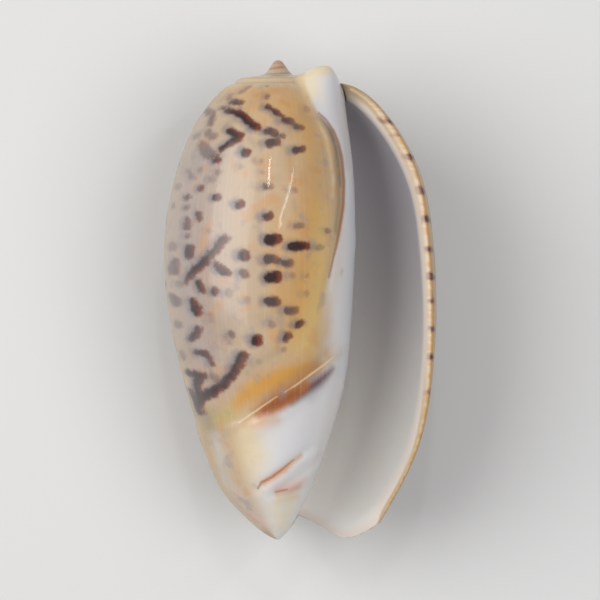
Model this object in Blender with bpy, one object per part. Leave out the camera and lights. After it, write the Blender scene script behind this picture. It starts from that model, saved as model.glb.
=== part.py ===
"""An olive shell, lying on its back with the opening upwards.

The shell is one grown piece. Its wall winds round an axis like a scroll, and each turn back from
the lip lies closer to the axis, until the wall runs into the solid pillar in the middle. Depths
are measured down that axis from the tip of the spire, and turns are angles back from the side
that the lip is on, round the shell's back. Lengths here are millimetres.
"""

import math

import bmesh
import bpy
import numpy as np

MILLIMETRE = 0.001

SUTURE_DEPTH = 2.35  # the last whorl is joined to the spire at this depth
TIP_DEPTH = 47.95  # the pillar and the lobe beside it end here
WHORL_LENGTH = TIP_DEPTH - SUTURE_DEPTH

# Distance from the axis to three outlines of the last whorl, at steps that lie closer together
# near both ends: at the lip, half a turn back, and a whole turn back, on the pillar.
LIP_OUTLINE = (5.9, 8.8, 11.75, 14.3, 15.45, 15.7, 15.1, 13.75, 11.8, 10.6, 10.0)
LEFT_OUTLINE = (4.3, 6.1, 8.45, 10.3, 11.35, 10.9, 9.35, 7.35, 5.05, 1.8, 0.0)
PILLAR_OUTLINE = (3.5, 4.7, 5.9, 6.9, 7.3, 7.2, 6.6, 4.85, 2.85, 1.1, 0.0)
SPOUT_FULLNESS = 0.35  # how far the wall stays out beside the spout, as a share of the lip's reach
SPOUT_DEPTHS = (34.0, 45.0)

# Where the lip ends, in degrees of turn, at even steps from its top to the corner of its lobe,
# and how deep the lobe and the notch reach, at even steps of turn between two angles.
LIP_TURNS = (-16.0, -17.0, -18.0, -18.5, -18.5, -17.5, -14.5, -8.0, 8.0)
LOBE_DEPTHS = (46.3, 47.25, 47.85, 47.8, 47.1, 46.4, 45.7)
CORNER_TURN = math.radians(8)
NOTCH_TURN = math.radians(75)
NOTCH_DEPTH = LOBE_DEPTHS[-1]

WALL = 1.4  # thickness of the wall
LIP_ROUNDING = 2.4  # the wall thins to its edge over this length
EDGE_ROUNDING = 0.6  # and its outer face turns in over this one
EDGE_TURNED_IN = 0.25
ROOF_THICKNESS = 1.2
ROOF_ROUNDING = 1.8
HOLLOW_TURN = math.radians(200)  # the hollow ends this far back, out of sight
HOLLOW_ROUNDING = math.radians(40)
NARROWEST_GAP = 0.15

CALLUS_PAD = 0.8  # thickness of the smooth pad beside the opening
CALLUS_PAD_LENGTH = 16.0
CALLUS_TOP_LENGTH = 2.5
KNOB_HEIGHT = 1.15  # the pad's top stands above the spire's flat part
KNOB_TURN = math.radians(327)
KNOB_WIDTHS = (math.radians(30), math.radians(17))
KNOB_LENGTH = 1.7

# How deep the raised band round the shell's lower end begins, at even steps from beside the
# notch, round the back, to the opening.
BAND_DEPTHS = (45.2, 42.0, 38.9, 36.8, 36.3, 36.1, 32.9, 29.0)
BAND_TURNS = (math.radians(45), math.radians(325))
BAND_HEIGHT = 0.14
RIDGE_HEIGHT = 0.22

CONE_HEIGHT = 1.55  # the small cone of early whorls on the flat top
CONE_RADIUS = 1.0
FLAT_FALL = 0.25
RIM_WIDTH = 0.65
RIM_FALL = SUTURE_DEPTH - CONE_HEIGHT - FLAT_FALL

WALL_STEPS = 13  # steps along the wall from the lip to the notch, and inside the hollow
BACK_STEPS = 34  # steps from the notch on round the back to below the lip
DEPTH_STEPS = 44
SPIRE_STEPS = 11
TIP_STEPS = 5

SPIRE_PLACE = (-2.18, 23.975, 13.53)  # from the spot under the shell's middle that it lies on
FLAT_SPOT_DEPTH = 0.45  # worn off the back there, so that it lies still
WELD = 0.001


def ease(low, high, value):
    """A smooth step, 0 up to low and 1 from high on."""
    share = np.clip((value - low) / (high - low), 0.0, 1.0)
    return share * share * (3.0 - 2.0 * share)


def rounded(share):
    """A quarter of a circle, 0 at share 0 and 1 from share 1 on."""
    rest = 1.0 - np.clip(share, 0.0, 1.0)
    return np.sqrt(1.0 - rest * rest)


def smooth_line(heights, share):
    """The natural cubic spline through heights at even steps, read at shares from 0 to 1."""
    heights = np.asarray(heights)
    last = len(heights) - 1
    bends = 4.0 * np.eye(last + 1) + np.eye(last + 1, k=1) + np.eye(last + 1, k=-1)
    bends[0] = bends[last] = 0.0
    bends[0, 0] = bends[last, last] = 1.0
    pull = np.zeros(last + 1)
    pull[1:-1] = 6.0 * (heights[2:] - 2.0 * heights[1:-1] + heights[:-2])
    curvature = np.linalg.solve(bends, pull)
    place = np.clip(share, 0.0, 1.0) * last
    first = np.minimum(place.astype(int), last - 1)
    after = place - first
    before = 1.0 - after
    straight = heights[first] * before + heights[first + 1] * after
    bent = (before**3 - before) * curvature[first] + (after**3 - after) * curvature[first + 1]
    return straight + bent / 6.0


def coil(lip, left, pillar, turn):
    """A radius that falls exponentially with the turn, through three radii half a turn apart."""
    ratio = np.clip((left - pillar) / (lip - left), 0.02, 0.97)
    fall = (lip - left) / (1.0 - ratio)
    return lip - fall * (1.0 - ratio ** (turn / math.pi))


def bare_radius(turn, depth):
    """Distance from the axis to the outside of the whorl, before the pad is laid on it."""
    share = np.arccos(1.0 - 2.0 * np.clip((depth - SUTURE_DEPTH) / WHORL_LENGTH, 0.0, 1.0)) / math.pi
    lip, left, pillar = (smooth_line(o, share) for o in (LIP_OUTLINE, LEFT_OUTLINE, PILLAR_OUTLINE))
    missing = np.maximum(pillar + SPOUT_FULLNESS * (lip - pillar) - left, 0.0)
    full = left + missing * ease(*SPOUT_DEPTHS, depth)
    near = coil(lip, full, pillar, turn)
    far = coil(lip, left, pillar, turn)
    return near + (far - near) * ease(math.radians(60), math.radians(170), turn)


def callus(turn, depth):
    """Thickness of the pad on the whorl below the lip: it closes the gap between the whorl and
    the top of the lip, and thins away down the pillar and to both sides."""
    start = math.radians(LIP_TURNS[0])
    at_suture = np.array(SUTURE_DEPTH)
    whole_gap = bare_radius(start, at_suture) - bare_radius(start + 2 * math.pi, at_suture)
    below = np.maximum(depth - SUTURE_DEPTH, 0.0)
    top = (whole_gap - CALLUS_PAD) * np.exp(-below / CALLUS_TOP_LENGTH)
    pad = CALLUS_PAD * np.exp(-((below / CALLUS_PAD_LENGTH) ** 2))
    edge = math.radians(295) + math.radians(20) * ease(3.0, 14.0, depth)
    inwards = ease(math.radians(370), math.radians(430), turn)
    return (top + pad) * ease(edge, edge + math.radians(45), turn) * (1.0 - inwards)


def whorl_radius(turn, depth):
    """Distance from the axis to the outside of the shell, the raised band left out."""
    return bare_radius(turn, depth) + callus(turn, depth)


def band(turn, depth):
    """Height of the band round the lower end, with a low ridge along its upper edge that is
    plainest beside the opening."""
    start, end = BAND_TURNS
    past = depth - smooth_line(BAND_DEPTHS, (turn - start) / (end - start))
    front = 0.3 + 0.7 * ease(math.radians(215), math.radians(265), turn)
    ridge = RIDGE_HEIGHT * front * np.exp(-(((past - 0.9) / 1.1) ** 2))
    ends = ease(start - 0.3, start + 0.5, turn) * (1.0 - ease(end - 0.25, end + 0.1, turn))
    tip = 1.0 - ease(NOTCH_DEPTH - 4.0, NOTCH_DEPTH, depth)
    return (BAND_HEIGHT * ease(-0.7, 0.7, past) + ridge) * ends * tip


def knob(turn):
    """The share of the pad's full rise at this turn, steep towards the lip."""
    past = turn - KNOB_TURN
    width = np.where(past > 0.0, KNOB_WIDTHS[1], KNOB_WIDTHS[0])
    return np.cos(0.5 * math.pi * np.clip(np.abs(past) / width, 0.0, 1.0)) ** 2


def lip_turn(down):
    """The turn at which the lip's edge lies, at a share of the way down."""
    return np.radians(smooth_line(LIP_TURNS, down))


def edge_depth(turn):
    """How deep the whorl reaches: the lobe up to the notch, and the notch's own depth past it."""
    return smooth_line(LOBE_DEPTHS, (turn - CORNER_TURN) / (NOTCH_TURN - CORNER_TURN))


def steps_down():
    """Shares of the way down at each step, close together at the shoulder and at the end."""
    share = np.linspace(0.0, 1.0, DEPTH_STEPS + 1)
    top, end, reach = 0.93, 0.8, 0.09
    ends = top * (1.0 - np.exp(-share / reach)) + end * (np.exp((share - 1.0) / reach) - math.exp(-1.0 / reach))
    down = share - reach * ends
    return (down / down[-1])[:, None]


def steps_across(count):
    """Shares of the way across at each step, closer together at both ends."""
    share = np.linspace(0.0, 1.0, count + 1)
    return 0.7 * (1.0 - np.cos(math.pi * share)) / 2.0 + 0.3 * share


def points(turn, radius, depth):
    """Points in the shell's own frame: the lip to +X, the spire to +Y, the opening to +Z."""
    turn, radius, depth = np.broadcast_arrays(turn, radius, depth)
    return np.stack([radius * np.cos(turn), -depth, -radius * np.sin(turn)], axis=-1)


def inner_radius(turn, depth, past_lip):
    """Distance from the axis to the inside of the wall: the outside moved in and down by the
    wall's thickness, which runs out in a rounding towards the lip's and the lobe's edge."""
    outside = whorl_radius(turn, depth)
    from_lip = outside * past_lip
    from_lobe = np.hypot(edge_depth(turn) - depth, outside * np.maximum(turn - NOTCH_TURN, 0.0))
    round_in = rounded(from_lip / LIP_ROUNDING) * rounded(from_lobe / LIP_ROUNDING)
    return whorl_radius(turn, depth - WALL * 0.7 * round_in) - WALL * round_in


def turned_in(turn, depth, past_lip):
    """How far the outer face turns in along the lip's and the lobe's edge."""
    outside = whorl_radius(turn, depth)
    from_lobe = np.where(turn < NOTCH_TURN, edge_depth(turn) - depth, EDGE_ROUNDING)
    nearest = np.minimum(outside * past_lip, from_lobe)
    return EDGE_TURNED_IN * (1.0 - rounded(nearest / EDGE_ROUNDING))


def hollow_radii(turn, depth, roof, past_lip, to_end):
    """Distances from the axis to the pillar side and the wall side of the hollow. They meet in a
    rounding at its roof and at its far end."""
    pillar = whorl_radius(turn + 2 * math.pi, depth)
    wall = inner_radius(turn, depth, past_lip)
    least = NARROWEST_GAP * (1.0 - np.exp(-(depth - SUTURE_DEPTH) / 0.5))
    below_roof = (depth - roof) / np.maximum(ROOF_ROUNDING * (roof - SUTURE_DEPTH) / ROOF_THICKNESS, 1e-6)
    wall = pillar + np.maximum(wall - pillar, least) * np.where(past_lip > 1e-9, rounded(below_roof), 1.0)
    pillar = wall - (wall - pillar) * rounded(to_end / HOLLOW_ROUNDING)
    return pillar, wall


def whorl_sheets():
    """The outside of the whorl with the pillar side of the hollow, and the wall side of it, as
    two sheets of points. Rows run down the shell and columns run back from the lip."""
    down = steps_down()
    below_top = ease(0.0, 0.05, down)
    lip = lip_turn(down)
    end = NOTCH_TURN + (HOLLOW_TURN - NOTCH_TURN) * (1.0 - ease(0.55, 1.0, down))
    across, round_back = steps_across(WALL_STEPS), np.linspace(0.0, 1.0, BACK_STEPS + 1)

    front = lip + (NOTCH_TURN - lip) * across
    back = NOTCH_TURN + (lip + 2 * math.pi - NOTCH_TURN) * round_back
    outside_turn = np.concatenate([front, back[:, 1:]], axis=1)
    outside_depth = SUTURE_DEPTH + (edge_depth(outside_turn) - SUTURE_DEPTH) * down
    outside = whorl_radius(outside_turn, outside_depth)
    outside = outside - turned_in(outside_turn, outside_depth, outside_turn - lip) * below_top
    outside = outside + band(outside_turn, outside_depth)
    fade = np.exp(-(((outside_depth - SUTURE_DEPTH) / KNOB_LENGTH) ** 1.5))
    rise = (KNOB_HEIGHT + RIM_FALL) * knob(outside_turn) * fade

    hollow_turn = lip + (end - lip) * across
    past_lip = hollow_turn - lip
    roof = SUTURE_DEPTH + ROOF_THICKNESS * (1.0 - np.exp(-past_lip / math.radians(20)))
    pillar_depth = roof + (NOTCH_DEPTH - roof) * down
    wall_depth = roof + (edge_depth(hollow_turn) - roof) * down
    pillar, _ = hollow_radii(hollow_turn, pillar_depth, roof, past_lip, end - hollow_turn)
    _, wall = hollow_radii(hollow_turn, wall_depth, roof, past_lip, end - hollow_turn)
    wall = wall - turned_in(hollow_turn, wall_depth, past_lip) * below_top

    outside_sheet = points(outside_turn, outside, outside_depth - rise)
    pillar_sheet = points(hollow_turn, pillar, pillar_depth)
    wall_sheet = points(hollow_turn, wall, wall_depth)
    return np.concatenate([outside_sheet, pillar_sheet[:, 1:]], axis=1), wall_sheet


def spire_sheet(suture):
    """The spire: a small cone of early whorls on a flat disc, out to the whorl's first row."""
    turn = np.arctan2(-suture[:, 2], suture[:, 0])
    radius_at_suture = np.hypot(suture[:, 0], suture[:, 2])
    share = np.linspace(0.0, 1.0, SPIRE_STEPS + 1)[:, None] ** 0.9
    radius = radius_at_suture * share
    cone = CONE_HEIGHT * (1.0 - np.exp(-((radius / CONE_RADIUS) ** 2.5)))
    into_rim = np.clip((radius - radius_at_suture) / RIM_WIDTH + 1.0, 0.0, 1.0)
    flat = FLAT_FALL * ease(1.5 * CONE_RADIUS, 4.0 * CONE_RADIUS, radius)
    raised = knob(turn % (2 * math.pi))
    rim = RIM_FALL * (1.0 - np.sqrt(1.0 - into_rim * into_rim)) * (1.0 - raised)
    sheet = points(turn, radius, cone + flat + rim - KNOB_HEIGHT * raised * ease(0.5, 1.0, share))
    sheet[-1] = suture
    return sheet


def tip_sheet(ring):
    """The pillar's tip, drawn in from the ring at the notch's depth to a blunt point."""
    left = np.linspace(1.0, 0.0, TIP_STEPS + 1)[:, None, None]
    sheet = ring * left
    sheet[..., 1] = -TIP_DEPTH + (ring[..., 1] + TIP_DEPTH) * left[..., 0] ** 1.45
    return sheet


def sheet_faces(sheet, first, flipped):
    """Four-sided faces between neighbouring points of a sheet whose points start at first."""
    rows, columns = sheet.shape[:2]
    corner = first + np.arange(rows - 1)[:, None] * columns + np.arange(columns - 1)
    faces = np.stack([corner, corner + columns, corner + columns + 1, corner + 1], axis=-1).reshape(-1, 4)
    return faces[:, ::-1] if flipped else faces


def shell_mesh():
    """All sheets as one closed mesh, welded where they meet."""
    outside, wall = whorl_sheets()
    round_whorl = WALL_STEPS + BACK_STEPS + 1
    spire = spire_sheet(outside[0, :round_whorl])
    tip = tip_sheet(outside[-1, WALL_STEPS:])
    corners, faces = [], []
    first = 0
    for sheet, flipped in ((outside, False), (wall, True), (spire, False), (tip, False)):
        corners.append(sheet.reshape(-1, 3))
        faces.extend(sheet_faces(sheet, first, flipped).tolist())
        first += len(corners[-1])
    corners = np.concatenate(corners) + SPIRE_PLACE
    corners[:, 2] -= FLAT_SPOT_DEPTH
    mesh = bpy.data.meshes.new("shell")
    mesh.from_pydata((corners * MILLIMETRE).tolist(), [], faces)
    welded = bmesh.new()
    welded.from_mesh(mesh)
    bmesh.ops.remove_doubles(welded, verts=welded.verts, dist=WELD * MILLIMETRE)
    welded.to_mesh(mesh)
    welded.free()
    return mesh


def below_mesh():
    """A box whose top is level with the flat spot."""
    box = bmesh.new()
    bmesh.ops.create_cube(box, size=2.0)
    for corner in box.verts:
        corner.co = (corner.co.x * 0.02, corner.co.y * 0.03, (corner.co.z - 1.0) * 0.005)
    mesh = bpy.data.meshes.new("below")
    box.to_mesh(mesh)
    box.free()
    return mesh


def shell_material():
    """Polished cream shell."""
    material = bpy.data.materials.new("shell")
    material.use_nodes = True
    surface = material.node_tree.nodes["Principled BSDF"]
    surface.inputs["Base Color"].default_value = (0.72, 0.6, 0.43, 1.0)
    surface.inputs["Roughness"].default_value = 0.25
    return material


def main():
    for old in list(bpy.data.objects):
        bpy.data.objects.remove(old)
    parts = bpy.data.collections.new("olive shell")
    cutters = bpy.data.collections.new("cutters")
    bpy.context.scene.collection.children.link(parts)
    bpy.context.scene.collection.children.link(cutters)
    shell = bpy.data.objects.new("shell", shell_mesh())
    shell.data.materials.append(shell_material())
    parts.objects.link(shell)
    below = bpy.data.objects.new("below", below_mesh())
    below.hide_render = True
    below.display_type = "WIRE"
    cutters.objects.link(below)
    cut = shell.modifiers.new("flat spot", "BOOLEAN")
    cut.operation = "DIFFERENCE"
    cut.solver = "EXACT"
    cut.object = below


main()
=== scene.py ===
"""The looks of an olive shell that lies on its back on a pale table, with its opening upwards.

The shell is drawn as it grew: a wall that winds round an axis, closer to it with each turn back
from the lip. Depths are measured down that axis from the tip of the spire, and turns are angles
back from the side that the lip is on, round the shell's back. Lengths are millimetres.
"""

import math

import bmesh
import bpy
import numpy as np
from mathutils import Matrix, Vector


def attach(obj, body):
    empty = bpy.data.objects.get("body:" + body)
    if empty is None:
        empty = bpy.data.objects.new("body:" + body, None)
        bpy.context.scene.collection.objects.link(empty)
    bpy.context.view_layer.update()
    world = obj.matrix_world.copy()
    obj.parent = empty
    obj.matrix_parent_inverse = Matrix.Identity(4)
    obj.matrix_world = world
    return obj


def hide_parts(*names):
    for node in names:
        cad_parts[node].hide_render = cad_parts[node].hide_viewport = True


MILLIMETRE = 0.001

# The shape, as the solid has it.
SUTURE_DEPTH = 2.35
TIP_DEPTH = 47.95
WHORL_LENGTH = TIP_DEPTH - SUTURE_DEPTH
LIP_OUTLINE = (5.9, 8.8, 11.75, 14.3, 15.45, 15.7, 15.1, 13.75, 11.8, 10.6, 10.0)
LEFT_OUTLINE = (4.3, 6.1, 8.45, 10.3, 11.35, 10.9, 9.35, 7.35, 5.05, 1.8, 0.0)
PILLAR_OUTLINE = (3.5, 4.7, 5.9, 6.9, 7.3, 7.2, 6.6, 4.85, 2.85, 1.1, 0.0)
SPOUT_FULLNESS = 0.35
SPOUT_DEPTHS = (34.0, 45.0)
LIP_TURNS = (-16.0, -17.0, -18.0, -18.5, -18.5, -17.5, -14.5, -8.0, 8.0)
LOBE_DEPTHS = (46.3, 47.25, 47.85, 47.8, 47.1, 46.4, 45.7)
CORNER_TURN = math.radians(8)
NOTCH_TURN = math.radians(75)
NOTCH_DEPTH = LOBE_DEPTHS[-1]
WALL = 1.4
LIP_ROUNDING = 2.4
EDGE_ROUNDING = 0.6
EDGE_TURNED_IN = 0.25
ROOF_THICKNESS = 1.2
ROOF_ROUNDING = 1.8
HOLLOW_TURN = math.radians(200)
HOLLOW_ROUNDING = math.radians(40)
NARROWEST_GAP = 0.15
CALLUS_PAD = 0.8
CALLUS_PAD_LENGTH = 16.0
CALLUS_TOP_LENGTH = 2.5
KNOB_HEIGHT = 1.15
KNOB_TURN = math.radians(327)
KNOB_WIDTHS = (math.radians(30), math.radians(17))
KNOB_LENGTH = 1.7
BAND_DEPTHS = (45.2, 42.0, 38.9, 36.8, 36.3, 36.1, 32.9, 29.0)
BAND_TURNS = (math.radians(45), math.radians(325))
BAND_HEIGHT = 0.14
RIDGE_HEIGHT = 0.22
CONE_HEIGHT = 1.55
CONE_RADIUS = 1.0
FLAT_FALL = 0.25
RIM_WIDTH = 0.65
RIM_FALL = SUTURE_DEPTH - CONE_HEIGHT - FLAT_FALL
SPIRE_PLACE = (-2.18, 23.975, 13.53)
FLAT_SPOT_DEPTH = 0.45

# The mesh, finer than the solid's.
WALL_STEPS = 48
BACK_STEPS = 190
DEPTH_STEPS = 210
SPIRE_STEPS = 36
TIP_STEPS = 14
WELD = 0.001

# Markings, as drawn on a flat picture of each side: tenths of a millimetre to the right and down,
# with the spire's tip at these places. The back's picture leans a little.
FRONT_TIP = (420, 63)
BACK_TIP = (161, 64)
BACK_LEAN = math.radians(3.7)
TENTHS = 10.0

# Each mark: how strong it is, then points of a line with the line's half width at each.
FRONT_MARKS = (
    (0.9, (374, 105, 2.5), (383, 107, 2)),
    (0.4, (371, 102, 2)),
    (0.8, (365, 112, 2)),
    (0.5, (371, 101, 1.6), (373, 99, 1.4)),
    (0.4, (383, 96, 1.4), (387, 95, 1)),
    (1.0, (370, 114, 2.5), (380, 117, 3), (389, 123, 3.5), (393, 127, 3), (399, 132, 3.5), (402, 131, 2)),
    (0.7, (349, 113, 2), (353, 117, 2)),
    (0.7, (356, 120, 2), (354, 128, 2)),
    (1.0, (373, 135, 3), (384, 140, 3), (375, 147, 3.5), (364, 153, 2.5)),
    (0.5, (350, 136, 3), (356, 141, 3)),
    (0.5, (345, 149, 4), (352, 158, 5)),
    (0.3, (338, 140, 3)),
    (0.3, (343, 174, 2)),
    (0.25, (384, 171, 2.6)),
    (0.2, (352, 235, 2.6)),
    (0.2, (354, 317, 2), (354, 323, 2)),
    (0.2, (401, 364, 3)),
    (1.0, (388, 157, 4.5)),
    (1.0, (359, 164, 3.8)),
    (0.4, (362, 177, 3)),
    (0.3, (355, 183, 3)),
    (0.35, (331, 174, 1.5), (336, 181, 2)),
    (0.3, (320, 190, 3)),
    (0.8, (344, 192, 3)),
    (0.7, (330, 201, 2.4)),
    (0.5, (330, 211, 2.2)),
    (0.9, (359, 202, 3.4)),
    (1.0, (382, 208, 4.3)),
    (0.7, (342, 217, 2.4), (342, 222, 2.4)),
    (0.65, (330, 224, 2.6), (330, 231, 2.6)),
    (0.6, (330, 239, 2.6)),
    (0.3, (316, 209, 2)),
    (0.35, (314, 250, 4)),
    (0.8, (333, 251, 3.6), (332, 258, 4)),
    (0.55, (318, 264, 3), (315, 273, 5)),
    (0.85, (367, 242, 3.6), (360, 252, 3), (350, 262, 3.6), (347, 266, 3.6), (336, 275, 3.6),
     (329, 285, 2.4)),
    (0.9, (358, 267, 3), (365, 273, 4.6), (370, 276, 3)),
    (0.95, (387, 259, 5.4)),
    (0.75, (387, 277, 4.4)),
    (0.85, (342, 285, 3), (346, 293, 2.6)),
    (0.95, (358, 294, 4)),
    (0.25, (372, 296, 4)),
    (0.3, (389, 303, 3.4)),
    (0.25, (321, 287, 3)),
    (0.55, (313, 299, 3), (318, 304, 5)),
    (0.95, (335, 304, 3), (339, 311, 4.6), (341, 315, 3.4)),
    (0.6, (410, 101, 1.8)),
    (0.5, (409, 90, 1.5)),
    (0.45, (392, 90, 1.5), (388, 93, 1)),
    (0.9, (410, 111, 2.6), (414, 113, 1.6), (420, 117, 3), (426, 122, 1.6)),
    (0.8, (426, 124, 3.2), (434, 126, 3)),
    (0.7, (438, 130, 2.6), (444, 132, 2.4)),
    (0.25, (449, 113, 2.6)),
    (0.8, (410, 136, 3.4), (417, 137, 3.6)),
    (0.85, (411, 148, 3.6), (419, 146, 4)),
    (0.8, (425, 141, 2.4)),
    (0.85, (437, 155, 3), (445, 153, 3)),
    (0.35, (404, 166, 2.6)),
    (0.3, (405, 176, 2.4)),
    (0.7, (407, 191, 3), (413, 191, 2.6)),
    (0.4, (437, 194, 2.6)),
    (0.9, (408, 221, 4), (413, 219, 3.6)),
    (0.5, (438, 230, 2.4), (444, 229, 2.4)),
    (0.5, (469, 234, 2.4)),
    (1.0, (412, 244, 5.5), (419, 243, 5)),
    (1.0, (434, 250, 4.6), (443, 249, 4.8), (449, 250, 3)),
    (0.35, (460, 251, 2.4), (464, 251, 2)),
    (0.8, (411, 263, 4.6), (418, 263, 4.4)),
    (0.75, (427, 267, 3.2), (433, 266, 3.6)),
    (0.35, (434, 279, 3)),
    (1.0, (412, 281, 5.2), (420, 280, 5.4)),
    (0.5, (449, 279, 1.4)),
    (0.3, (448, 296, 3)),
    (0.85, (411, 304, 4.6), (419, 304, 4.4)),
    (0.75, (430, 314, 3.4), (437, 313, 3.4)),
    (0.9, (440, 327, 3.2), (443, 325, 3)),
    (0.35, (415, 327, 3.4)),
    (0.4, (320, 327, 3.6)),
    (0.8, (341, 331, 2.8), (338, 338, 3.6), (334, 342, 2.4)),
    (0.75, (375, 337, 3.6)),
    (1.0, (400, 343, 5.6)),
    (0.85, (430, 338, 4), (428, 342, 3)),
    (0.35, (426, 352, 2.6)),
    (0.4, (324, 355, 2), (325, 360, 2)),
    (0.8, (339, 355, 2.4), (348, 355, 2.6), (352, 360, 2.2), (355, 366, 2)),
    (0.25, (357, 379, 4)),
    (0.9, (386, 357, 3.8), (381, 367, 3.8), (375, 377, 3.8), (366, 386, 4.4), (356, 394, 4.4),
     (346, 400, 4), (340, 410, 4)),
    (0.9, (331, 375, 2.6), (343, 378, 4), (339, 388, 3.2), (343, 397, 3.6), (341, 408, 3)),
    (0.9, (333, 393, 2.4), (338, 405, 3), (342, 414, 3)),
    (0.2, (368, 339, 2), (372, 345, 2)),
)
# Spots along the outside of the lip: strength, how far down they are drawn, half their height
# and how far they reach from the edge, in mm.
LIP_SPOTS = (
    (0.9, 124, 3.5, 1.1), (0.6, 138, 1.6, 0.5), (0.9, 160, 3.5, 1.4), (0.9, 194, 5, 0.9),
    (0.9, 222, 4, 1.6),
    (0.9, 252, 3.6, 0.8), (0.9, 279, 4.4, 1.3), (0.8, 303, 2.6, 0.6), (0.8, 331, 2.6, 1.1),
    (0.9, 359, 4.4, 0.7),
    (0.8, 394, 4, 1.0), (0.6, 415, 1.8, 0.4),
)
# Small marks on both sides, which neither view shows: strength, turn in degrees, how far down,
# half width and length in mm.
SIDE_MARKS = (
    (0.50, 8, 150, 1.3, 0.5), (0.60, 16, 176, 1.5, 0.7), (0.45, 6, 207, 1.1, 0.3),
    (0.55, 19, 232, 1.4, 0.6),
    (0.50, 10, 262, 1.4, 0.6), (0.40, 21, 290, 1.0, 0.4), (0.55, 7, 318, 1.3, 0.7),
    (0.45, 15, 345, 1.1, 0.4),
    (0.50, 5, 373, 1.2, 0.5), (0.40, 14, 402, 1.0, 0.6), (0.45, 22, 139, 1.0, 0.5),
    (0.35, 24, 203, 0.9, 0.4),
    (0.40, 0, 179, 0.9, 0.3), (0.35, 2, 240, 0.8, 0.4), (0.35, 1, 296, 0.8, 0.3),
    (0.40, 9, 430, 1.0, 0.4),
    (0.55, 176, 118, 1.2, 0.5), (0.60, 168, 140, 1.4, 0.8), (0.50, 178, 163, 1.2, 0.5),
    (0.65, 171, 186, 1.4, 0.6),
    (0.55, 164, 205, 1.2, 0.4), (0.50, 177, 221, 1.2, 0.6), (0.65, 170, 246, 1.5, 0.8),
    (0.45, 163, 268, 1.1, 0.4),
    (0.55, 178, 283, 1.3, 0.5), (0.60, 169, 304, 1.4, 0.7), (0.50, 162, 326, 1.1, 0.5),
    (0.60, 176, 341, 1.3, 0.9),
    (0.55, 167, 363, 1.3, 0.6), (0.50, 177, 388, 1.2, 0.5), (0.45, 170, 408, 1.1, 0.4),
    (0.45, 160, 392, 1.0, 0.4),
)
LIP_SPOT_TURN = math.radians(-19.5)
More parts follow.
